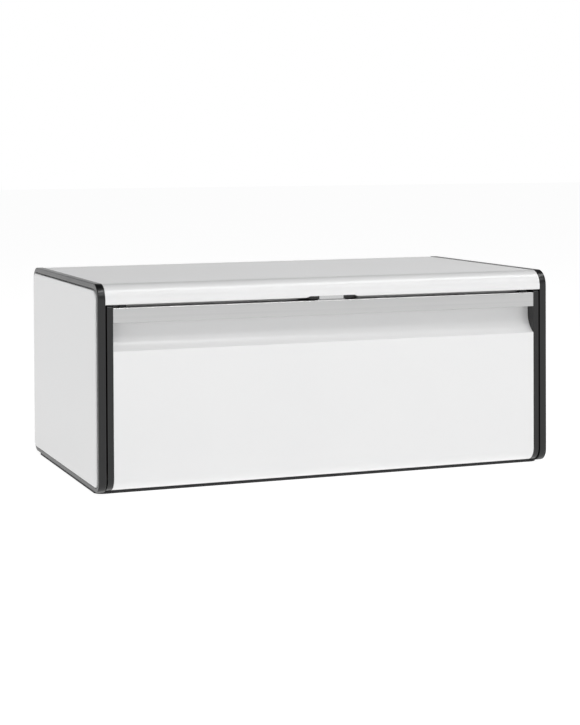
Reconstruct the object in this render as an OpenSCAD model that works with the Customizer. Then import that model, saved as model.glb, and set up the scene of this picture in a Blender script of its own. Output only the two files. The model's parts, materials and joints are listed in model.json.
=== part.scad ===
// Bread box with a flat top and a front door that falls open on two pivot pins.
// X runs across the box, +Y points to the back, +Z up. The origin is under the centre, on the worktop.

/* [Body] */
// Width over the two end frames
body_w = 465; // [360:1:560]
// Depth from the front face to the back face
body_d = 270; // [230:1:340]
// Height above the worktop
body_h = 195.8; // [170:0.1:240]

/* [End frames] */
// Width of the frame's edge, seen from the front
frame_w = 7.2; // [7:0.1:9]
// Width of the rim round each side panel
rim_w = 5; // [4.5:0.1:7]
// How much narrower the rim is along the bottom
rim_less = 1; // [0:0.1:1.2]
// How far the side panels stand out from their rims
panel_out = 1.4; // [0.4:0.1:2]
// Radius of the upper front and back corners
top_r = 15; // [13:1:17]
// Radius of the lower front and back corners
bottom_r = 13; // [12:1:14]
// Depth of the groove that parts the side panel from the rim
groove_w = 0.8; // [0.5:0.1:1.2]

/* [Sheet metal] */
// Thickness of the coated sheet
sheet_t = 0.8; // [0.6:0.1:1]
// Drop of the lip over the door, from the top
lip_h = 19.1; // [18.2:0.1:20]

/* [Door] */
// Gap between the lip and the door's top edge
top_gap = 2.7; // [2.5:0.1:3.5]
// Height of the metal grip strip
strip_h = 14; // [10:1:18]
// Depth of the finger recess
recess_d = 12; // [9:0.5:13]
// Distance from the top of the box to the lower crease of the recess
recess_low = 62.4; // [56:0.1:70]
// Radius of the curl at the foot of the door, which is centred on the pivot
curl_r = 13.5; // [12:0.5:14]
// Thickness of each door end cap
end_cap_w = 5.9; // [5:0.1:7]
// Gap between a door end cap and its end frame
side_gap = 1.3; // [1.2:0.1:1.6]

/* [Base] */
// Thickness of the non-slip strips
foot_t = 2.2; // [1.6:0.1:2.6]
// Thickness of the base tray
tray_t = 1.6; // [1.4:0.1:2]

/* [Hidden] */
$fn = 48;

front = -body_d / 2;
back = body_d / 2;
half_w = body_w / 2;
frame_x = half_w - frame_w;        // inner face of an end frame
frame_low = foot_t + 0.2;          // the frames hang just clear of the non-slip strips
panel_low = frame_low - rim_less;  // lower edge that the side panels are drawn in from
wall_t = 2.2;                      // wall of an end frame behind its side panel
pocket_x = frame_x + wall_t;       // floor of the pocket that takes the side panel
skin = 0.3;                        // how far the shell and the door sit below the frame's edge

lip_low = body_h - lip_h;
lip_flange = 13;                   // depth of the flange folded in at the lip's edge
shell_low = foot_t + tray_t + 0.1;  // underside of the shell's lower flange
shell_flange = 22;

door_y = front + skin;
door_top = lip_low - top_gap;
cap_top = door_top + 1.6;
cap_out = frame_x - side_gap;      // outer face of a door end cap
cap_in = cap_out - end_cap_w;      // where the door's sheet ends
cap_back = front + 16.8;
pivot_y = door_y + curl_r;
door_low = foot_t + 1.5;           // underside of the door's curl
pivot_z = door_low + curl_r;
pin_r = 2.5;
pin_clear = 0.05;

crease_z = body_h - recess_low;
recess_r = 22;                     // sweep of the recess's lower half
recess_angle = acos(1 - recess_d / recess_r);
recess_z = crease_z + recess_r * sin(recess_angle);
strip_t = 1.2;
grip_back = front + 14.9;          // back edge of the grip, against the liner

liner_t = 1.6;
liner_y = front + 16.6;            // face of the liner on the inside of the box
liner_top = lip_low - 0.9;         // the liner stands up behind the grip to close the gap
liner_knee_z = 46;
liner_low_y = pivot_y + curl_r - sheet_t - 0.5;

heel_r = 22;                       // reach of the heel that stops the open door
heel_low = -35;
heel_high = -25;
stop_r = 2.2;
stop_reach = 20.5;
stop_angle = heel_high + 91 + asin(stop_r / stop_reach);

tray_y0 = front + 16;
sill_y = front + 30;               // inner side of the crumb sill
tray_y1 = back - 12;
tray_end_z = 19;
tray_screw_z = 13.5;
tray_screw_y = [-60, 60];
tray_rear_x = [-150, 0, 150];
foot_w = 14;
foot_x = half_w - 0.9;
foot_in = 16;                      // how far the strips are set back from the front and the back

catch_x = 26;                      // half the length of the magnet housing
ear_x = 38;
ear_t = 3;                         // thickness of the housing's ears
catch_z = door_top + 0.9;          // underside of the housing
catch_notch = 2;                   // height of the shallow notch in the lip
pole_x = 12.5;
catch_back = front + 15;
screw_r = 1.5;
door_screw_z = [60, 120];

// ---- outlines in the side view, as (y, z) points ----

function arc(c, r, a0, a1, n = 10) =
    [for (i = [0:n]) let(a = a0 + (a1 - a0) * i / n) [c[0] + r * cos(a), c[1] + r * sin(a)]];

// the box's rounded outline, drawn in from its edge by d
function outline(d, low = frame_low) =
    let(rt = top_r - d, rb = bottom_r - d, y0 = front + d, y1 = back - d, z0 = low + d, z1 = body_h - d)
    concat(arc([y0 + rb, z0 + rb], rb, 180, 270), arc([y1 - rb, z0 + rb], rb, 270, 360),
        arc([y1 - rt, z1 - rt], rt, 0, 90), arc([y0 + rt, z1 - rt], rt, 90, 180));

// plan of the non-slip strips, drawn in from their edge by d, with corners of radius r
function plan(d, r) =
    let(x = foot_x - d - r, y = back - foot_in - d - r)
    concat(arc([x, y], r, 0, 90, 8), arc([-x, y], r, 90, 180, 8),
        arc([-x, -y], r, 180, 270, 8), arc([x, -y], r, 270, 360, 8));

function unit(v) = v / norm(v);
function left_of(v) = [-v[1], v[0]];

// corner i of a path, moved d to the left of the way it runs
function shifted(p, i, d) =
    let(n = len(p) - 1,
        a = i == 0 ? unit(p[1] - p[0]) : unit(p[i] - p[i - 1]),
        b = i == n ? unit(p[n] - p[n - 1]) : unit(p[i + 1] - p[i]),
        m = unit(left_of(a) + left_of(b)))
    p[i] + m * d / (m * left_of(a));

// a bent strip of thickness t, lying to the left of its path
function strip(p, t, from = 0) =
    concat([for (i = [0:len(p) - 1]) shifted(p, i, from)],
        [for (i = [len(p) - 1:-1:0]) shifted(p, i, from + t)]);

// outer face of the shell, from the fold at the lip, over the top and down the back
function shell_path() =
    let(rt = top_r - skin, rb = bottom_r - skin, y1 = back - skin, z1 = body_h - skin)
    concat([[front + skin + lip_flange, lip_low], [front + skin, lip_low]],
        arc([front + top_r, body_h - top_r], rt, 180, 90, 12),
        arc([back - top_r, body_h - top_r], rt, 90, 0, 12),
        arc([y1 - rb, shell_low + rb], rb, 0, -90, 10),
        [[y1 - rb - shell_flange + 8, shell_low]]);

// outer face of the door's sheet, from its top edge down to the end of the curl
function door_path() =
    concat([[door_y + recess_d, door_top - strip_t - 0.1]],
        arc([door_y + recess_d - recess_r, recess_z], recess_r, 0, -recess_angle, 10),
        arc([pivot_y, pivot_z], curl_r, 180, 360, 20),
        [[pivot_y + curl_r, pivot_z + 5]]);

// inner face of the door's liner, from the top down to its hook behind the curl
function liner_path() =
    [[liner_y, liner_top], [liner_y, liner_knee_z], [liner_low_y, pivot_z + 10], [liner_low_y, pivot_z + 1]];

// ---- helpers ----

module across(x0, x1) {
    translate([x0, 0, 0]) rotate([90, 0, 90]) linear_extrude(height = x1 - x0) children();
}

module both_sides() {
    children();
    mirror([1, 0, 0]) children();
}

module at_axis(x, y, z) {
    translate([x, y, z]) rotate([0, 90, 0]) children();
}

// pan-head screw standing on its head's underside, with a cross in the head
module screw(length, head_r = 2.8, head_h = 1.6) {
    difference() {
        union() {
            translate([0, 0, -length]) cylinder(r = screw_r, h = length + 0.4);
            cylinder(r = head_r, h = head_h);
        }
        for (a = [0, 90]) rotate([0, 0, a]) translate([-1.7, -0.35, head_h - 0.9]) cube([3.4, 0.7, 2]);
    }
}

// ---- the fixed body ----

module end_frame() color("#333333") difference() {
    union() {
        difference() {
            across(frame_x, half_w) polygon(outline(0));
            across(pocket_x, half_w + 1) polygon(outline(rim_w, panel_low));
        }
        // rib that carries the shell's edge
        across(frame_x - 6, frame_x + 0.5) difference() {
            polygon(outline(skin + sheet_t + 0.15));
            polygon(outline(skin + sheet_t + 1.75));
            translate([front - 1, -1]) square([32, lip_low + sheet_t + 1.4]);
            translate([front - 1, -1]) square([body_d + 2, tray_end_z + 5]);
        }
        at_axis(pocket_x - 1, pivot_y, pivot_z) cylinder(r = 5.4, h = half_w - 1.4 - pocket_x + 1);
        for (y = tray_screw_y)
            at_axis(pocket_x - 1, y, tray_screw_z) cylinder(r = 3.6, h = half_w - 1.4 - pocket_x + 1);
        // post that the door's heel meets when the door lies open
        at_axis(frame_x - 6.6, pivot_y + stop_reach * cos(stop_angle), pivot_z + stop_reach * sin(stop_angle))
            cylinder(r = stop_r, h = 7.6);
    }
    at_axis(frame_x - 1, pivot_y, pivot_z) cylinder(r = pin_r, h = frame_w);
    for (y = tray_screw_y) at_axis(frame_x - 1, y, tray_screw_z) cylinder(r = screw_r, h = 6);
}

module side_panel() color("white") difference() {
    across(pocket_x, half_w + panel_out) polygon(outline(rim_w + groove_w, panel_low));
    across(pocket_x - 1, half_w + panel_out - sheet_t) polygon(outline(rim_w + groove_w + sheet_t, panel_low));
}

module top_shell() color("white") difference() {
    across(-frame_x, frame_x) polygon(strip(shell_path(), -sheet_t));
    // shallow notch over the magnet, with sloping ends
    translate([0, front - 1, 0]) rotate([-90, 0, 0]) linear_extrude(height = lip_flange + 4)
        polygon([[-catch_x - 4, -lip_low + 1], [-catch_x + 3, -lip_low - catch_notch],
            [catch_x - 3, -lip_low - catch_notch], [catch_x + 4, -lip_low + 1]]);
    for (x = tray_rear_x) translate([x, back - 22, 0]) cylinder(r = screw_r, h = 8);
    both_sides() translate([ear_x - 6, front + 9, lip_low - 1]) cylinder(r = screw_r, h = 4);
}

module base_tray() color("#2b2b2b") difference() {
    union() {
        // floor, thinner under the door's curl
        translate([-frame_x + 0.1, tray_y0, foot_t]) cube([2 * frame_x - 0.2, sill_y - tray_y0, 1]);
        translate([-frame_x + 0.1, sill_y, foot_t]) cube([2 * frame_x - 0.2, tray_y1 - sill_y, tray_t]);
        translate([-cap_in + 6, sill_y, foot_t]) cube([2 * cap_in - 12, 1.6, 11]);
        both_sides() translate([frame_x - 1.7, front + 40, foot_t])
            cube([1.6, back - 34 - front - 40, tray_end_z - foot_t]);
    }
    both_sides() for (y = tray_screw_y)
        at_axis(frame_x - 3, y, tray_screw_z) cylinder(r = screw_r + 0.2, h = 4);
    for (x = tray_rear_x) translate([x, back - 22, -1]) cylinder(r = screw_r + 0.2, h = 6);
}

// half of the ring of non-slip strip under the box, open towards the middle
module foot_strip() color("#1c1c1c") linear_extrude(height = foot_t) difference() {
    polygon(plan(0, 9));
    polygon(plan(foot_w, 2));
    translate([-foot_x - 1, -0.5]) square([2 * foot_x + 2, body_d]);
}

module hinge_pin() color("silver") at_axis(cap_in - 4, pivot_y, pivot_z) {
    cylinder(r = pin_r, h = half_w - 1.6 - cap_in + 4);
}

module hinge_washers() color("ivory") both_sides()
    at_axis(frame_x - side_gap + 0.05, pivot_y, pivot_z) difference() {
        cylinder(r = 5.5, h = side_gap - 0.1);
        translate([0, 0, -1]) cylinder(r = pin_r + 0.1, h = 4);
    }

// outline of the magnet housing from the front: a nose in the notch and two ears on the flange
module housing_face(inset = 0) {
    ear_z = lip_low + sheet_t + 0.1;
    polygon([[-catch_x + inset, catch_z + 1.6], [-catch_x + 3 + inset, catch_z], [catch_x - 3 - inset, catch_z],
        [catch_x - inset, catch_z + 1.6], [catch_x - inset, ear_z], [ear_x, ear_z], [ear_x, ear_z + ear_t],
        [catch_x + 2.5, ear_z + ear_t], [catch_x, ear_z + 5.4], [-catch_x, ear_z + 5.4],
        [-catch_x - 2.5, ear_z + ear_t], [-ear_x, ear_z + ear_t], [-ear_x, ear_z], [-catch_x + inset, ear_z]]);
}

module magnet_housing() color("#262626") difference() {
    translate([0, catch_back, 0]) rotate([90, 0, 0]) linear_extrude(height = catch_back - front - 3.6) housing_face(1.2);
    translate([-pole_x - 0.1, front + 2, catch_z - 1]) cube([2 * pole_x + 0.2, 9.2, 8]);
    both_sides() translate([ear_x - 6, front + 9, lip_low - 1]) cylinder(r = screw_r + 0.2, h = 8);
}

module catch_magnet() color("dimgray")
    translate([-pole_x, front + 4.9, catch_z + 0.5]) cube([2 * pole_x, 5, 6.3]);

module pole_plates() color("gainsboro") {
    translate([-pole_x, front + 3.6, catch_z - 0.2]) cube([2 * pole_x, 1.2, 7]);
    translate([-pole_x, front + 10, catch_z - 0.2]) cube([2 * pole_x, 1.1, 7]);
}

module door_buffers() color("black") both_sides()
    translate([205, front + 3, door_top]) cube([6, 7, lip_low - door_top - 0.4]);

module frame_screws() color("silver") both_sides() for (y = tray_screw_y)
    at_axis(frame_x - 1.75, y, tray_screw_z) rotate([180, 0, 0]) screw(6.2);

module tray_screws() color("silver") for (x = tray_rear_x)
    translate([x, back - 22, shell_low + sheet_t]) screw(2.4);

module catch_screws() color("silver") both_sides()
    translate([ear_x - 6, front + 9, lip_low + sheet_t + ear_t + 0.1]) screw(3.8);

// ---- the door ----

module door_panel() color("white") across(-cap_in, cap_in) polygon(strip(door_path(), sheet_t));

module grip_strip() color("lightgray") across(-cap_in, cap_in) {
    polygon([[door_y, door_top - strip_h + 0.4], [door_y + 0.4, door_top - strip_h], [door_y + strip_t, door_top - strip_h],
        [door_y + strip_t, door_top - strip_t], [grip_back, door_top - strip_t], [grip_back, door_top],
        [door_y + 0.5, door_top], [door_y, door_top - 0.5]]);
}

module door_liner() color("whitesmoke") difference() {
    across(-cap_in, cap_in) polygon(strip(liner_path(), -liner_t));
    // room for the catch when the door swings
    translate([-31, liner_y - 4, door_top - strip_t]) cube([62, 8, 8]);
    both_sides() for (z = door_screw_z)
        translate([cap_in - 5, liner_y + 1, z]) rotate([90, 0, 0]) cylinder(r = screw_r + 0.2, h = 4);
}

module heel() polygon(concat(arc([pivot_y, pivot_z], heel_r, heel_low, heel_high, 3), [[pivot_y, pivot_z]]));

module door_end_cap() color("#2e2e2e") difference() {
    union() {
        across(cap_in, cap_out) union() {
            polygon(concat(arc([pivot_y, pivot_z], curl_r, 180, 360, 20), [[cap_back, pivot_z + 12]],
                arc([cap_back - 2, cap_top - 2], 2, 0, 90, 4), arc([door_y + 2, cap_top - 2], 2, 90, 180, 4)));
            heel();
        }
        // rib that the sheet's end is held on
        across(cap_in - 5, cap_in + 0.5) polygon(strip(concat(
            [[door_y, crease_z - 6]], arc([pivot_y, pivot_z], curl_r, 180, 350, 20)), 1.5, sheet_t + 0.1));
        at_axis(cap_in - 4, pivot_y, pivot_z) cylinder(r = 5.5, h = 5);
        // bosses for the liner's screws
        for (z = door_screw_z) translate([cap_in - 8, liner_y - liner_t - 6.1, z - 3]) cube([9, 6, 6]);
    }
    at_axis(cap_in - 5, pivot_y, pivot_z) cylinder(r = pin_r + pin_clear, h = end_cap_w + 6);
    for (z = door_screw_z)
        translate([cap_in - 5, liner_y, z]) rotate([90, 0, 0]) cylinder(r = screw_r, h = 7);
}

module strike_plate() color("gainsboro")
    translate([-pole_x - 1.5, front + 3, door_top]) cube([2 * pole_x + 3, 9, 0.5]);

module door_screws() color("silver") both_sides() for (z = door_screw_z)
    translate([cap_in - 5, liner_y, z]) rotate([-90, 0, 0]) screw(6);

mirror([1, 0, 0]) end_frame();  // end_frame_left
end_frame();  // end_frame_right
mirror([1, 0, 0]) side_panel();  // side_panel_left
side_panel();  // side_panel_right
top_shell();
base_tray();
foot_strip();  // front_foot_strip
mirror([0, 1, 0]) foot_strip();  // rear_foot_strip
mirror([1, 0, 0]) hinge_pin();  // hinge_pin_left
hinge_pin();  // hinge_pin_right
hinge_washers();
magnet_housing();
catch_magnet();
pole_plates();
door_buffers();
frame_screws();
tray_screws();
catch_screws();
door_panel();
grip_strip();
door_liner();
mirror([1, 0, 0]) door_end_cap();  // door_end_cap_left
door_end_cap();  // door_end_cap_right
strike_plate();
door_screws();
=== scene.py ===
# %% [markdown]
# # A bread box with a fall-open door
#
# The CAD model already fixes every size and every joint. Blender's job is the look of the thing: soft
# edges, real sheet-metal bends, paint, satin metal, moulded plastic and light. This first cell loads the
# imported model as a frame to build on, and keeps its nodes and joints.

import json
from math import acos, asin, atan2, cos, pi, radians, sin

import bmesh
import bpy
from mathutils import Matrix, Vector


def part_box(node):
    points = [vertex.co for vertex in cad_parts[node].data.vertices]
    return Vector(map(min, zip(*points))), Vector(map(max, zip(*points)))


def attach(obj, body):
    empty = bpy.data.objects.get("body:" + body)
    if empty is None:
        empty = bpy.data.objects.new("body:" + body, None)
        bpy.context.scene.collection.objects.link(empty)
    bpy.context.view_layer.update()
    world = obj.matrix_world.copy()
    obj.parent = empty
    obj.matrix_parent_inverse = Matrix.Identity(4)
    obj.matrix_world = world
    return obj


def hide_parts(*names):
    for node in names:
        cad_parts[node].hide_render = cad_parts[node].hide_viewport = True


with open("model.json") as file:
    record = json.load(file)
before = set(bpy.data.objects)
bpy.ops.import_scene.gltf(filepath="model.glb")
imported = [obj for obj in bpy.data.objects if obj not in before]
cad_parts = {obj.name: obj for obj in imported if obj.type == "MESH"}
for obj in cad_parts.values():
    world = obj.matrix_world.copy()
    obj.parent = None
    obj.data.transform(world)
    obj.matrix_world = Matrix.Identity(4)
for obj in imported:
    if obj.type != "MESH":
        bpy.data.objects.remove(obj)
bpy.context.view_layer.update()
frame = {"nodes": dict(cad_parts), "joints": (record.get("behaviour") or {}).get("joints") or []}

# %% [markdown]
# Places start from the corners of the CAD nodes' boxes, so most changes of size in the CAD model carry
# through. The other numbers are this design's own radii, thicknesses and offsets, which boxes can't tell.
# They are written in millimetres and turned into metres by `mm`, and they have to be changed by hand if the
# CAD model's are.

# %% Read the sizes
mm = 0.001
rim_lo, rim_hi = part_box("end_frame_right")
roof_lo, roof_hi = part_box("top_shell")
inset_lo, inset_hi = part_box("side_panel_right")
door_lo, door_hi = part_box("door_panel")
grip_lo, grip_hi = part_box("grip_strip")
cap_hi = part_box("door_end_cap_right")[1]
tray_lo, tray_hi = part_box("base_tray")
pivot = Vector(frame["joints"][0]["pos_m"])

front, back, top, foot = rim_lo.y, rim_hi.y, rim_hi.z, rim_lo.z
side = rim_hi.x
inner = roof_hi.x
lip_low = cap_hi.z + 1.1 * mm
curl = pivot.y - door_lo.y
sheet_t = 0.8 * mm
corner_top, corner_low = 15 * mm, 13 * mm
print(f"box {2 * side / mm:.1f} wide, {(back - front) / mm:.1f} deep, {top / mm:.1f} high")
print(f"curl radius {curl / mm:.1f}")


# %% [markdown]
# The camera comes first, because everything after it is judged through it. The box is seen from its left,
# from a little above its top, so both its front and its left end show, and the top is only a thin wedge.
# The lens is long, which keeps the edges almost parallel. A vertical shift lets the camera look almost
# level, so the uprights stay upright, which is what a shift lens is for.


# %% Camera
def aim(yaw, pitch, roll):
    """Camera axes as a matrix, from the heading, the downward tilt and the roll in degrees."""
    a, b, c = radians(yaw), radians(pitch), radians(roll)
    ahead = Vector((sin(a) * cos(b), cos(a) * cos(b), -sin(b)))
    right = Vector((cos(a), -sin(a), 0))
    up = right.cross(ahead)
    right, up = right * cos(c) + up * sin(c), up * cos(c) - right * sin(c)
    return Matrix((right, up, -ahead)).transposed()


lens = bpy.data.cameras.new("camera")
lens.sensor_fit = "AUTO"
lens.sensor_width = 36
lens.lens = 87.65
lens.shift_y = -0.2517
lens.clip_start = 0.01
camera = bpy.data.objects.new("camera", lens)
camera.matrix_world = Matrix.Translation((-0.64026, -1.70813, 0.32106)) @ aim(20.77, 1.06, -0.272).to_4x4()
bpy.context.scene.collection.objects.link(camera)
bpy.context.scene.camera = camera
print("camera at", [round(v, 3) for v in camera.location], "lens", lens.lens)


# %% [markdown]
# ## Tools for finishes
#
# A material is a graph of nodes, but a formula is easier to read than a graph. `Wire` holds one output of a
# node and lets Python's own operators add the Math nodes, so `0.3 + 0.1 * grain` is exactly what it says.
# `Finish` owns one material, or the world, and its `node` method adds any other kind of node: its settings
# first, then its sockets.


# %% Formula class
class Wire:
    """One output socket of a material, with arithmetic."""

    def __init__(self, finish, socket):
        self.finish = finish
        self.socket = socket

    def math(self, operation, a, b):
        return self.finish.node("ShaderNodeMath", {"operation": operation}, {0: a, 1: b})

    def __add__(self, other):
        return self.math("ADD", self, other)

    def __radd__(self, other):
        return self.math("ADD", other, self)

    def __mul__(self, other):
        return self.math("MULTIPLY", self, other)

    def __rmul__(self, other):
        return self.math("MULTIPLY", other, self)


def set_stops(elements, stops):
    """Gives a colour ramp its stops, each a position and a colour."""
    for i, (position, colour) in enumerate(stops):
        stop = elements[i] if i < len(elements) else elements.new(position)
        stop.position = position
        stop.color = (*colour, 1)


class Finish:
    """The nodes of one material, or of the owner given, built from formulas."""

    def __init__(self, name, owner=None):
        self.owner = owner or bpy.data.materials.new(name)
        self.owner.use_nodes = True
        self.tree = self.owner.node_tree
        self.tree.nodes.clear()
        self.count = 0

    def node(self, kind, settings, sockets, output=0):
        """Adds a node: its settings first, then values or wires for its sockets. Gives back one output."""
        made = self.tree.nodes.new(kind)
        made.location = (220 * (self.count % 8), -260 * (self.count // 8))
        self.count += 1
        for key, value in settings.items():
            if key == "stops":
                set_stops(made.color_ramp.elements, value)
            else:
                setattr(made, key, value)
        for key, value in sockets.items():
            if isinstance(value, Wire):
                self.tree.links.new(value.socket, made.inputs[key])
            else:
                made.inputs[key].default_value = value
        return Wire(self, made.outputs[output]) if made.outputs else None

    def place(self, stretch=(1, 1, 1)):
        """Where a point is on the object, in metres, multiplied by stretch."""
        where = self.node("ShaderNodeTexCoord", {}, {}, "Object")
        return self.node("ShaderNodeVectorMath", {"operation": "MULTIPLY"}, {0: where, 1: stretch})

    def noise(self, per_metre, stretch=(1, 1, 1), detail=2.0, rough=0.5):
        """A cloudy pattern around 0.5, with about that many features in a metre."""
        sockets = {"Vector": self.place(stretch), "Scale": per_metre, "Detail": detail, "Roughness": rough}
        return self.node("ShaderNodeTexNoise", {"noise_dimensions": "3D"}, sockets, "Fac")

    def between(self, mask, dark, light):
        """A colour that goes from dark to light as mask goes from 0 to 1."""
        sockets = {"Factor": mask, 6: (*dark, 1), 7: (*light, 1)}
        return self.node("ShaderNodeMix", {"data_type": "RGBA"}, sockets, 2)

    def relief(self, height, depth, strength=1.0):
        """Shading that follows a height pattern. Depth is the height of a full step, in metres."""
        return self.node("ShaderNodeBump", {}, {"Height": height, "Distance": depth, "Strength": strength})

    def surface(self, **sockets):
        """Finishes the material as a Principled surface. Underscores in socket names stand for spaces."""
        names = {key.replace("_", " "): value for key, value in sockets.items()}
        shader = self.node("ShaderNodeBsdfPrincipled", {}, names)
        self.node("ShaderNodeOutputMaterial", {}, {"Surface": shader})
        return self.owner


print("formula class ready")

# %% [markdown]
# ## Powder-coated sheet
#
# The white parts are steel sheet with a baked coating. A real coat is never a flat white: it is a hair
# darker where it lies thinner, it has a very fine ripple called orange peel, and its gloss wanders a
# little. Three noise patterns give these three things. The ripple goes only into the bump, so the outline
# of the metal stays straight.

# %% Powder coat
coat = Finish("powder_coat")
cloud = coat.noise(7, detail=3)
peel = coat.noise(420, detail=3, rough=0.6)
dust = coat.noise(1900, detail=1)
powder_coat = coat.surface(
    Base_Color=coat.between(0.7 * cloud + 0.3 * dust, (0.752, 0.754, 0.757), (0.8, 0.8, 0.798)),
    Roughness=0.27 + 0.08 * cloud + 0.05 * peel,
    Normal=coat.relief(peel, 0.02 * mm, 0.5),
    Coat_Weight=0.25,
    Coat_Roughness=0.16,
)
print("made", powder_coat.name)

# %% [markdown]
# ## Black moulded plastic
#
# The end frames and the door's end caps are injection moulded, with the fine spark-eroded grain that hides
# finger marks. The grain is small and sharp, so it is made from cells (a Voronoi pattern) broken up by
# noise. The plastic is nearly black; most of what the eye sees on it is the room, reflected at a low angle.

# %% Black plastic
black = Finish("black_plastic")
cells = {"Vector": black.place(), "Scale": 1300, "Randomness": 1.0}
pits = black.node("ShaderNodeTexVoronoi", {"feature": "F1"}, cells, "Distance")
grain = black.noise(900, detail=3, rough=0.65)
rub = black.noise(28, detail=4, rough=0.6)
black_plastic = black.surface(
    Base_Color=black.between(0.6 * rub + 0.4 * grain, (0.0038, 0.0039, 0.0041), (0.0088, 0.0089, 0.0092)),
    Roughness=0.19 + 0.13 * rub + 0.09 * grain,
    Normal=black.relief(0.6 * pits + 0.4 * grain, 0.045 * mm, 0.5),
    Specular_IOR_Level=0.46,
)
print("made", black_plastic.name)

# %% [markdown]
# ## Satin metal grip
#
# The grip was brushed along its length, from end to end. Stretching a noise pattern hundreds of times
# further along X than across it turns its blobs into hairlines. Two widths of line are mixed, because a
# single width looks printed. The lines change the brightness and the gloss a little, and cut a shallow
# relief.

# %% Brushed metal
brush = Finish("satin_metal")
hair = brush.noise(1, (6, 2600, 2600), detail=3, rough=0.7)
band = brush.noise(1, (2.2, 420, 420), detail=2)
haze = brush.noise(14, detail=2)
satin_metal = brush.surface(
    Base_Color=brush.between(0.55 * hair + 0.45 * band, (0.455, 0.457, 0.46), (0.595, 0.595, 0.59)),
    Roughness=0.27 + 0.14 * hair + 0.06 * haze,
    Normal=brush.relief(0.7 * hair + 0.3 * band, 0.02 * mm, 0.6),
    Metallic=1.0,
    Anisotropic=0.4,
)
print("made", satin_metal.name)

# %% [markdown]
# ## The quiet finishes
#
# The smaller parts get the same care with fewer lines: rubber is dull with a bloom of dust, zinc plating is
# bright with a faint mottle, the magnet is a dark fired ceramic with specks, and the two pale plastics have
# a soft sheen.


# %% Rubber, zinc, ferrite and pale plastics
def mottled(name, dark, light, rough, spread, per_metre, depth, **fixed):
    """A finish with a slow cloud in its colour and a fine grain in its gloss and relief."""
    made = Finish(name)
    slow = made.noise(per_metre / 25, detail=3)
    fine = made.noise(per_metre, detail=3, rough=0.6)
    return made.surface(
        Base_Color=made.between(0.5 * slow + 0.5 * fine, dark, light),
        Roughness=(rough - spread / 2) + spread * fine,
        Normal=made.relief(fine, depth, 0.6),
        **fixed,
    )


foot_rubber = mottled("foot_rubber", (0.014, 0.014, 0.015), (0.034, 0.034, 0.035), 0.82, 0.2, 900, 0.06 * mm)
zinc_plate = mottled(
    "zinc_plate", (0.46, 0.465, 0.475), (0.64, 0.64, 0.635),
    0.3, 0.2, 700, 0.02 * mm, Metallic=1.0,
)
ferrite = mottled(
    "ferrite", (0.02, 0.02, 0.022), (0.075, 0.073, 0.07),
    0.55, 0.3, 1600, 0.05 * mm, Metallic=0.2,
)
liner_plastic = mottled("liner_plastic", (0.72, 0.722, 0.72), (0.80, 0.80, 0.79), 0.42, 0.12, 800, 0.03 * mm)
washer_plastic = mottled("washer_plastic", (0.66, 0.63, 0.54), (0.76, 0.73, 0.64), 0.4, 0.1, 600, 0.02 * mm)
print("made", len(bpy.data.materials), "finishes in all")


# %% [markdown]
# ## Tools for shapes
#
# Nearly every part of this box is one outline carried along a line: a sheet bent in the side view and run
# from end to end, or a rounded rectangle stepped outwards. `Shape` collects points and faces for one piece,
# and has one method for each of these. An outline is a list of (y, z) points in metres.


# %% Outline helpers
def arc(centre, radius, start, end, steps):
    """Points on an arc, from one angle to another in degrees."""
    turn = [radians(start + (end - start) * i / steps) for i in range(steps + 1)]
    return [(centre[0] + radius * cos(a), centre[1] + radius * sin(a)) for a in turn]


def moved(path, distance):
    """The path shifted sideways, to the left of the way it runs."""
    points = [Vector(p) for p in path]
    ways = [(b - a).normalized() for a, b in zip(points, points[1:])]
    out = []
    for i, p in enumerate(points):
        before, after = ways[max(i - 1, 0)], ways[min(i, len(ways) - 1)]
        left = (Vector((-before.y, before.x)) + Vector((-after.y, after.x))).normalized()
        out.append(tuple(p + left * distance / max(left.dot(Vector((-before.y, before.x))), 0.3)))
    return out


def bent(path, index, radius, steps=6):
    """The path with the corner at index rounded to a radius."""
    a, b, c = (Vector(path[i]) for i in (index - 1, index, index + 1))
    u, v = (a - b).normalized(), (c - b).normalized()
    half = acos(max(-1, min(1, u.dot(v)))) / 2
    middle = b + (u + v).normalized() * radius / sin(half)
    first, last = b + u * radius / (sin(half) / cos(half)), b + v * radius / (sin(half) / cos(half))
    start = atan2(first.y - middle.y, first.x - middle.x)
    sweep = atan2(last.y - middle.y, last.x - middle.x) - start
    sweep = (sweep + pi) % (2 * pi) - pi
    curve = [start + sweep * i / steps for i in range(steps + 1)]
    rounded = [(middle.x + radius * cos(t), middle.y + radius * sin(t)) for t in curve]
    return path[:index] + rounded + path[index + 1 :]


print("outline helpers ready")


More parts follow.
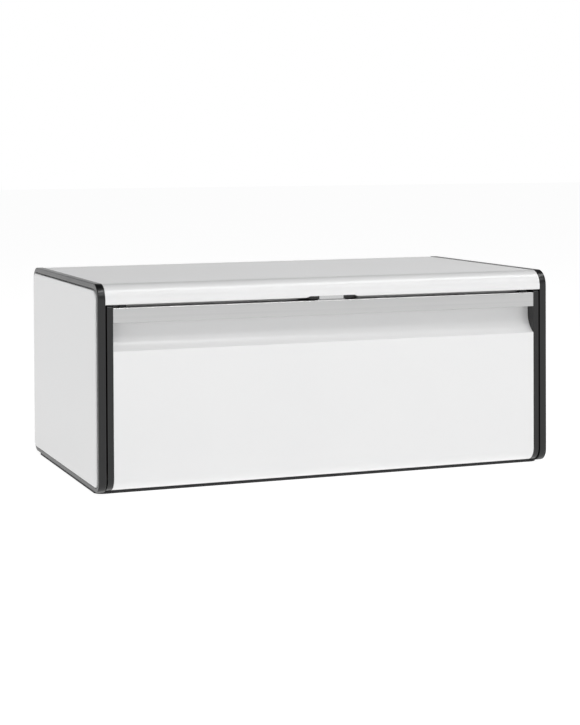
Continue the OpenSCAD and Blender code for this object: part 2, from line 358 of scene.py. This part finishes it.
# %% Shape class
class Shape:
    """Points and faces of one piece, gathered before the mesh is made."""

    def __init__(self):
        self.points = []
        self.faces = []

    def ring(self, points):
        first = len(self.points)
        self.points += points
        return list(range(first, len(self.points)))

    def join(self, a, b):
        """A band of faces between two closed rings with the same number of points."""
        n = len(a)
        self.faces += [(a[i], a[(i + 1) % n], b[(i + 1) % n], b[i]) for i in range(n)]

    def run(self, outline, x0, x1):
        """A solid bar: a closed outline carried along X."""
        a = self.ring([(x0, y, z) for y, z in outline])
        b = self.ring([(x1, y, z) for y, z in outline])
        self.join(a, b)
        self.faces += [tuple(a), tuple(b)]
        return self

    def fold(self, path, thickness, x0, x1):
        """Bent sheet: an open path with a thickness to its left, carried along X, with closed ends."""
        outline = list(path) + list(reversed(moved(path, thickness)))
        a = self.ring([(x0, y, z) for y, z in outline])
        b = self.ring([(x1, y, z) for y, z in outline])
        self.join(a, b)
        n = len(outline)
        for end in (a, b):
            self.faces += [(end[i], end[i + 1], end[n - 2 - i], end[n - 1 - i]) for i in range(len(path) - 1)]
        return self

    def stack(self, rings):
        """A solid skin over rings of points, closed flat at both ends."""
        made = [self.ring(r) for r in rings]
        for a, b in zip(made, made[1:]):
            self.join(a, b)
        self.faces += [tuple(made[0]), tuple(made[-1])]
        return self

    def turned(self, profile, y, z, steps=32):
        """A turned solid on an axis along X. The profile is a list of (x, radius)."""
        turn = [2 * pi * i / steps for i in range(steps)]
        return self.stack([[(x, y + r * cos(t), z + r * sin(t)) for t in turn] for x, r in profile])

    def mirrored(self):
        """The same piece for the other end of the box."""
        other = Shape()
        other.points = [(-x, y, z) for x, y, z in self.points]
        other.faces = [tuple(reversed(f)) for f in self.faces]
        return other

    def make(self, name, finish, edge=0.0, steps=2, smooth=34):
        """The finished object, with its edges softened by a bevel of that width."""
        mesh = bpy.data.meshes.new(name)
        mesh.from_pydata(self.points, [], self.faces)
        work = bmesh.new()
        work.from_mesh(mesh)
        bmesh.ops.remove_doubles(work, verts=work.verts, dist=1e-7)
        bmesh.ops.recalc_face_normals(work, faces=work.faces)
        work.to_mesh(mesh)
        work.free()
        piece = bpy.data.objects.new(name, mesh)
        bpy.context.scene.collection.objects.link(piece)
        mesh.materials.append(finish)
        soften(piece, edge, steps, smooth)
        return piece


def soften(piece, edge, steps=2, smooth=34):
    """Smooth shading up to an angle, and a bevel of that width on every sharper edge."""
    piece.data.shade_smooth()
    piece.data.set_sharp_from_angle(angle=radians(smooth))
    if edge:
        bevel = piece.modifiers.new("soft_edges", "BEVEL")
        bevel.width = edge
        bevel.segments = steps
        bevel.limit_method = "ANGLE"
        bevel.angle_limit = radians(smooth)
        bevel.harden_normals = True


def fit(piece, body, slot, *nodes):
    """Puts a finished piece on its body, in place of its CAD nodes."""
    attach(piece, body)
    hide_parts(*nodes)
    print(f"{piece.name}: {len(piece.data.vertices)} points, {len(piece.data.polygons)} faces")
    return piece


print("shape class ready")

# %% [markdown]
# ## The roof
#
# One white sheet makes the lip over the door, the top and the back. Such a sheet is bent on a press brake
# over round tools, so its two long edges have big soft radii and the lip ends in a tight fold that hides
# the raw edge. The path follows the outer face from the fold to the tail under the floor, and `fold` gives
# it the metal's thickness.

# %% Roof sheet
skin = top - roof_hi.z
fold_r = 1.1 * mm
big = corner_top - skin
low_r = corner_low - skin
bend_y, bend_z = front + corner_top, top - corner_top
roof_path = [(front + 13.3 * mm, lip_low)]
roof_path += arc((roof_lo.y + fold_r, lip_low + fold_r), fold_r, 270, 180, 7)
roof_path += arc((bend_y, bend_z), big, 180, 90, 34)
roof_path += arc((back - corner_top, top - corner_top), big, 90, 0, 28)
roof_path += arc((roof_hi.y - low_r, roof_lo.z + low_r), low_r, 0, -90, 18)
roof_path += [(roof_hi.y - low_r - 14 * mm, roof_lo.z)]
roof = Shape().fold(roof_path, -sheet_t, -inner, inner).make("roof_sheet", powder_coat)
print("the lip is", round((top - lip_low) / mm, 1), "mm deep")

# %% [markdown]
# A shallow notch with sloping ends is cut in the middle of the lip, where the magnet's steel shows. A
# Boolean modifier is the Blender tool for a saw cut: a wedge-shaped cutter is made, used once and deleted.
# It is applied at once, so the piece is left as one plain mesh.

# %% Notch in the lip
def sawn(piece, cutter, edge):
    """Cuts a shape out of a piece for good, then softens the new edges."""
    tool = cutter.make("saw", piece.data.materials[0])
    saw = piece.modifiers.new("saw", "BOOLEAN")
    saw.object, saw.operation, saw.solver = tool, "DIFFERENCE", "FAST"
    bpy.context.view_layer.update()
    cut = bpy.data.meshes.new_from_object(piece.evaluated_get(bpy.context.evaluated_depsgraph_get()))
    piece.modifiers.clear()
    piece.data = cut
    bpy.data.objects.remove(tool)
    soften(piece, edge)
    return piece


half_notch, slope, rise, below = 23 * mm, 7 * mm, 1.5 * mm, -1 * mm
notch = [(-half_notch - slope, below), (-half_notch, rise)]
notch += [(half_notch, rise), (half_notch + slope, below)]
wedge = Shape().stack([[(x, front + d, lip_low + z) for x, z in notch] for d in (-1 * mm, 17 * mm)])
fit(sawn(roof, wedge, 0.18 * mm), "body", "coated_sheet", "top_shell")


# %% [markdown]
# ## End frames
#
# Each end of the box is a black moulded tray. Seen from the front only its 7 mm edge shows. Seen from the
# side it is a rim round the white panel. It is built from rounded rectangles, each a little further in or
# out than the last, so the rounded rim, the groove and the pocket for the panel all come from one list of
# (inset, x) pairs.


# %% Rounded rectangle
def rounded(inset, x, low, extra=0.0):
    """The box's rounded outline at one x, drawn in by inset, with its lower edge raised by extra."""
    rt, rb = max(corner_top - inset, 1 * mm), max(corner_low - inset, 1 * mm)
    y0, y1, z0, z1 = front + inset, back - inset, low + inset + extra, top - inset
    outline = arc((y0 + rb, z0 + rb), rb, 180, 270, 14) + arc((y1 - rb, z0 + rb), rb, 270, 360, 14)
    outline += arc((y1 - rt, z1 - rt), rt, 0, 90, 20) + arc((y0 + rt, z1 - rt), rt, 90, 180, 20)
    return [(x, y, z) for y, z in outline]


def quarter(inset, x, radius, start, end, steps=4):
    """(inset, x) pairs round a quarter circle."""
    return arc((inset, x), radius, start, end, steps)


panel_inset = inset_lo.y - front
panel_raise = inset_lo.z - foot - panel_inset
groove = 0.8 * mm
rim = panel_inset - groove
pocket = inset_lo.x
edge_r = 0.9 * mm
print(f"rim {rim / mm:.1f}, panel raised {panel_raise / mm:.1f} at the bottom")

# %% End frames
steps = [(8 * mm, inner), (0.5 * mm, inner)]
steps += quarter(0.5 * mm, inner + 0.5 * mm, 0.5 * mm, 270, 180)[1:]
steps += quarter(edge_r, side - edge_r, edge_r, 180, 90, 6)
steps += quarter(rim - 0.35 * mm, side - 0.35 * mm, 0.35 * mm, 90, 0)
steps += [(rim, pocket), (rim + 4 * mm, pocket)]
wall = Shape().stack([rounded(d, x, foot, panel_raise if d >= rim - 0.4 * mm else 0) for d, x in steps])

rib_gap, rib_t = skin + sheet_t + 0.15 * mm, 1.6 * mm
rib_r = corner_top - rib_gap
rib_path = arc((front + corner_top, top - corner_top), rib_r, 178, 90, 18)
rib_path += arc((back - corner_top, top - corner_top), rib_r, 90, 0, 18)
rib_path += [(back - rib_gap, foot + 23 * mm)]
wall.fold(rib_path, -rib_t, inner - 6 * mm, inner + 0.5 * mm)

reach, stop_r = 20.5 * mm, 2.2 * mm
heel_top, full_turn = -25, 91
stop_at = radians(heel_top + full_turn) + asin(stop_r / reach)
post_y, post_z = pivot.y + reach * cos(stop_at), pivot.z + reach * sin(stop_at)
tip_x, tip_r = inner - 6.6 * mm, 0.6 * mm
dome = [(tip_x + tip_r * (1 - cos(a)), stop_r - tip_r * (1 - sin(a))) for a in (0, pi / 6, pi / 3, pi / 2)]
wall.turned(dome + [(inner + 0.4 * mm, stop_r)], post_y, post_z, 24)
fit(wall.make("end_frame_r", black_plastic, 0.0), "body", "black_moulding", "end_frame_right")
fit(wall.mirrored().make("end_frame_l", black_plastic, 0.0), "body", "black_moulding", "end_frame_left")

# %% [markdown]
# ## Side panels
#
# The white end panels are shallow pans pressed from the same coated sheet. A pressed edge is always rolled,
# never square, and that small roll is what catches the light along the groove. The panel is hollow behind,
# as a pressed pan is, with the same rounded rectangles used twice: once for the outer face and once for the
# inner one. It stands a little proud of its rim, which hides the rim's far edge when the box is seen from
# the front.

# %% Side panels
roll = 1.2 * mm
face_x = inset_hi.x
rings = [(panel_inset + sheet_t + 3 * mm, face_x - sheet_t), (panel_inset + roll, face_x - sheet_t)]
rings += quarter(panel_inset + roll, face_x - roll, roll - sheet_t, 90, 180, 3)[1:]
rings += [(panel_inset + sheet_t, pocket + 0.05 * mm), (panel_inset, pocket + 0.05 * mm)]
rings += quarter(panel_inset + roll, face_x - roll, roll, 180, 90, 7)
rings += [(panel_inset + 4 * mm, face_x)]
pan = Shape().stack([rounded(d, x, foot, panel_raise) for d, x in rings])
fit(pan.make("side_panel_r", powder_coat), "body", "coated_sheet", "side_panel_right")
fit(pan.mirrored().make("side_panel_l", powder_coat), "body", "coated_sheet", "side_panel_left")

# %% [markdown]
# ## The door's sheet
#
# The door's front is one sheet with three shapes in it: the hollow for the fingers, the flat face and the
# curl at the foot, whose centre is the hinge line, so the curl turns in place as the door falls. The crease
# where the hollow meets the face is sharp, but steel can't be folded to nothing, so it gets a radius of
# about 1 mm.

# %% Door sheet
half_door = door_hi.x
recess_depth, sweep_r = 12 * mm, 22 * mm
crease = top - 62.2 * mm
swing = acos(1 - recess_depth / sweep_r)
sweep_centre = (door_lo.y + recess_depth - sweep_r, crease + sweep_r * sin(swing))
sweep = arc(sweep_centre, sweep_r, 0, -swing * 180 / pi, 22)
door_path = [(door_lo.y + recess_depth, door_hi.z)] + sweep
fold_at = len(door_path) - 1
door_path += arc((pivot.y, pivot.z), curl, 180, 360, 40)
door_path += [(pivot.y + curl, pivot.z + 5 * mm)]
door_path = bent(door_path, fold_at, 1.1 * mm)
door = Shape().fold(door_path, sheet_t, -half_door, half_door)
fit(door.make("door_sheet", powder_coat, 0.16 * mm, 2), "door", "coated_sheet", "door_panel")

# %% [markdown]
# ## The grip
#
# The grip is an angle of satin metal along the door's top. It stands in line with the door's face, with the
# finger hollow under and behind it. Its corner and its lower edge are rounded, because this is the one
# place on the box that hands touch every day.

# %% Grip strip
grip_t = 1.2 * mm
grip_path = [(grip_lo.y, grip_lo.z), (grip_lo.y, grip_hi.z), (grip_hi.y, grip_hi.z)]
grip_path = bent(grip_path, 1, 1.3 * mm, 8)
grip = Shape().fold(grip_path, -grip_t, -half_door, half_door)
fit(grip.make("grip_bar", satin_metal, 0.3 * mm, 3), "door", "grip_metal", "grip_strip")

# %% [markdown]
# ## The door's end caps
#
# A black cap closes each end of the door. It follows the door in side view, so it also closes the ends of
# the finger hollow, where it can be seen. Behind the curl it carries a heel that comes up to a post in the
# end frame when the door lies open. The rounded outline is carried along X and its edges are softened with
# a bevel. The cap isn't drilled here: the bore is in the CAD model, and in this one the hinge pin runs into
# solid plastic, out of sight.

# %% End caps
cap_back = front + 16.8 * mm
cap_path = arc((pivot.y, pivot.z), curl, 180, 345, 34) + [(cap_back, pivot.z + 12 * mm)]
cap_path += arc((cap_back - 2 * mm, cap_hi.z - 2 * mm), 2 * mm, 0, 90, 6)
cap_path += arc((door_lo.y + 2 * mm, cap_hi.z - 2 * mm), 2 * mm, 90, 180, 6)
cap = Shape().run(cap_path, half_door, cap_hi.x)
heel_in, heel_out, heel_bottom = 12.2 * mm, 22 * mm, -35
heel_plan = [(heel_in, heel_top), (heel_in, heel_bottom)]
heel_plan += [(heel_out, a) for a in (heel_bottom, -31.7, -28.3, heel_top)]
heel = [(pivot.y + r * cos(radians(a)), pivot.z + r * sin(radians(a))) for r, a in heel_plan]
cap.run(heel, half_door + 0.3 * mm, cap_hi.x - 0.3 * mm)
ledge = [(door_lo.y, crease - 6 * mm)] + arc((pivot.y, pivot.z), curl, 180, 350, 24)
cap.fold(moved(ledge, sheet_t + 0.1 * mm), 1.5 * mm, half_door - 5 * mm, half_door + 0.3 * mm)
boss_r = 5.5 * mm
boss = [(half_door - 4 * mm, 5.0 * mm), (half_door - 3.6 * mm, boss_r), (half_door + 0.3 * mm, boss_r)]
cap.turned(boss, pivot.y, pivot.z)
fit(cap.make("door_cap_r", black_plastic, 0.45 * mm, 3), "door", "black_moulding", "door_end_cap_right")
other_cap = cap.mirrored().make("door_cap_l", black_plastic, 0.45 * mm, 3)
fit(other_cap, "door", "black_moulding", "door_end_cap_left")

# %% [markdown]
# ## Inside of the door
#
# A pale moulded liner backs the door, so that no bare edge or screw boss faces the bread. It drops straight
# down behind the sheet, slopes back over the curl and hooks down behind it. Its bends are generous, as they
# are on a moulding that has to be wiped clean. Its top edge stands up behind the grip and closes the gap
# under the lip, with a gate sawn out in the middle to let the catch through.

# %% Door liner
liner_lo, liner_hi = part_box("door_liner")
face_y = front + 16.6 * mm
knee_z = 46 * mm
liner_path = [(face_y, liner_hi.z), (face_y, knee_z)]
liner_path += [(liner_hi.y, pivot.z + 10 * mm), (liner_hi.y, liner_lo.z)]
liner_path = bent(bent(liner_path, 2, 4 * mm, 8), 1, 12 * mm, 10)
liner = Shape().fold(liner_path, -1.6 * mm, -half_door, half_door).make("door_lining", liner_plastic)
gate_low, gate_near, gate_far = grip_hi.z - grip_t, face_y - 4 * mm, face_y + 4 * mm
gate = [(gate_near, gate_low), (gate_far, gate_low), (gate_far, top), (gate_near, top)]
fit(sawn(liner, Shape().run(gate, -31 * mm, 31 * mm), 0.4 * mm), "door", "white_moulding", "door_liner")

# %% [markdown]
# ## Base
#
# The floor is a black moulded tray with a low sill that keeps crumbs away from the curl. Rubber strips lift
# it clear of the worktop: two C shapes that make a ring. They are what shows as a dark line under the
# closed door.

# %% Tray
floor_low = tray_lo.z
floor_top = floor_low + 1.6 * mm
sill = front + 30 * mm
sill_end = half_door - 6 * mm
wall_t, thin_top, root = 1.6 * mm, floor_low + 1 * mm, floor_low + 0.4 * mm


def upright(y0, y1, z):
    """The outline of a wall that stands in the tray's floor, up to z."""
    return [(y0, root), (y1, root), (y1, z), (y0, z)]


floor_plan = [(tray_lo.y, floor_low), (tray_hi.y, floor_low), (tray_hi.y, floor_top)]
floor_plan += [(sill, floor_top), (sill - 1 * mm, thin_top), (tray_lo.y, thin_top)]
tray = Shape().run(floor_plan, tray_lo.x, tray_hi.x)
tray.run(upright(sill, sill + wall_t, floor_low + 11 * mm), -sill_end, sill_end)
for end in (-1, 1):
    x0, x1 = end * tray_hi.x, end * (tray_hi.x - wall_t)
    tray.run(upright(front + 40 * mm, back - 34 * mm, tray_hi.z), min(x0, x1), max(x0, x1))
fit(tray.make("floor_tray", black_plastic, 0.5 * mm, 3), "body", "black_moulding", "base_tray")


# %% Foot strips
def foot_strip(name, node, flip):
    """Half of the rubber ring under the box: an outline of (x, y) points, open towards the middle."""
    lo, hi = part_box(node)
    width, outer_r, inner_r = 14 * mm, 9 * mm, 2 * mm
    x, y = hi.x - outer_r, lo.y + outer_r
    plan = [(hi.x, hi.y)] + arc((x, y), outer_r, 0, -90, 12)
    plan += arc((-x, y), outer_r, -90, -180, 12) + [(lo.x, hi.y)]
    x, y = hi.x - width - inner_r, lo.y + width + inner_r
    plan += [(lo.x + width, hi.y)] + arc((-x, y), inner_r, 180, 270, 5) + arc((x, y), inner_r, 270, 360, 5)
    plan += [(hi.x - width, hi.y)]
    if flip:
        plan = [(a, lo.y + hi.y - b) for a, b in plan]
    strip = Shape().stack([[(a, b, z) for a, b in plan] for z in (lo.z, hi.z)])
    return fit(strip.make(name, foot_rubber, 0.35 * mm, 3), "body", "foot_rubber", node)


foot_strip("foot_front", "front_foot_strip", False)
foot_strip("foot_rear", "rear_foot_strip", True)

# %% [markdown]
# ## Small parts that stay as CAD made them
#
# The pins, screws, washers and the parts of the catch already have the right shape. They keep their CAD
# mesh and get their own finish and a hair of bevel, so that each edge has a highlight.

# %% Finish the small parts
kept = {
    "hinge_pin_left": (zinc_plate, 0.2),
    "hinge_pin_right": (zinc_plate, 0.2),
    "hinge_washers": (washer_plastic, 0.12),
    "magnet_housing": (black_plastic, 0.25),
    "catch_magnet": (ferrite, 0.15),
    "pole_plates": (zinc_plate, 0.15),
    "door_buffers": (foot_rubber, 0.3),
    "frame_screws": (zinc_plate, 0.1),
    "tray_screws": (zinc_plate, 0.1),
    "catch_screws": (zinc_plate, 0.1),
    "strike_plate": (zinc_plate, 0.1),
    "door_screws": (zinc_plate, 0.1),
}
for name, (finish, width) in kept.items():
    part = frame["nodes"][name]
    part.data.materials.clear()
    part.data.materials.append(finish)
    bevel = part.modifiers.new("soft_edges", "BEVEL")
    bevel.width = width * mm
    bevel.segments = 2
    bevel.limit_method = "ANGLE"
    bevel.angle_limit = radians(40)
print("finished", len(kept), "small parts")

# %% [markdown]
# ## Floor and light
#
# The box stands on a plain white sweep in a bright, soft studio. The floor glows a little by itself, as an
# overlit paper sweep does, so it stays white with only a thin shadow along the base. The sky is brighter
# near the horizon than overhead, which leaves the top of the box a shade darker than its front. A long soft
# box overhead draws the highlight along the lip's bend. One in front and above lights the door, a wide weak
# one further back gives the metal grip something even to reflect, and one on the left lights the side
# panel.

# %% Floor
paper = Finish("paper_sweep")
fleck = paper.noise(30, detail=3)
glow = paper.node("ShaderNodeEmission", {}, {"Color": (1, 1, 1, 1), "Strength": 0.94})
paper_tone = paper.between(fleck, (0.25, 0.25, 0.25), (0.27, 0.27, 0.27))
matt = paper.node("ShaderNodeBsdfDiffuse", {}, {"Color": paper_tone})
both = paper.node("ShaderNodeAddShader", {}, {0: glow, 1: matt})
paper.node("ShaderNodeOutputMaterial", {}, {"Surface": both})
sweep_mesh = bpy.data.meshes.new("paper_floor")
far = 12
sweep_mesh.from_pydata([(-far, -far, 0), (far, -far, 0), (far, far, 0), (-far, far, 0)], [], [(0, 1, 2, 3)])
sweep_mesh.materials.append(paper.owner)
floor = bpy.data.objects.new("paper_floor", sweep_mesh)
bpy.context.scene.collection.objects.link(floor)
print("floor reaches", far, "m each way from the box")

# %% Sky and soft boxes
world = bpy.data.worlds.new("studio")
bpy.context.scene.world = world
sky = Finish("studio", world)
direction = sky.node("ShaderNodeTexCoord", {}, {}, "Generated")
height = sky.node("ShaderNodeSeparateXYZ", {}, {0: direction}, "Z")
horizon, shoulder, overhead = (1.0, 1.0, 1.0), (0.2, 0.2, 0.202), (0.03, 0.03, 0.031)
sky_stops = [(0.16, horizon), (0.32, shoulder), (0.75, overhead)]
tone = sky.node("ShaderNodeValToRGB", {"stops": sky_stops}, {0: height})
air = sky.node("ShaderNodeBackground", {}, {"Color": tone})
sky.node("ShaderNodeOutputWorld", {}, {"Surface": air})
print("sky stops at", [position for position, colour in sky_stops])


def soft_box(name, place, target, size, power):
    """A large rectangular lamp that faces a point."""
    lamp = bpy.data.lights.new(name, "AREA")
    lamp.shape = "RECTANGLE"
    lamp.size, lamp.size_y = size
    lamp.energy = power
    holder = bpy.data.objects.new(name, lamp)
    holder.location = place
    holder.rotation_euler = (Vector(target) - Vector(place)).to_track_quat("-Z", "Y").to_euler()
    bpy.context.scene.collection.objects.link(holder)
    return holder


soft_box("top_box", (0.35, -0.8, 1.75), (0, -0.1, 0.19), (2.4, 0.35), 19)
soft_box("front_box", (0.5, -1.75, 1.6), (0, 0, 0.1), (2.2, 0.5), 10)
soft_box("wall_box", (0.9, -3.2, 0.5), (0, 0, 0.12), (5.5, 1.0), 3)
soft_box("side_box", (-2.4, -0.2, 0.9), (-0.2, 0, 0.1), (1.6, 1.0), 4.2)
bpy.context.scene.view_settings.view_transform = "Standard"
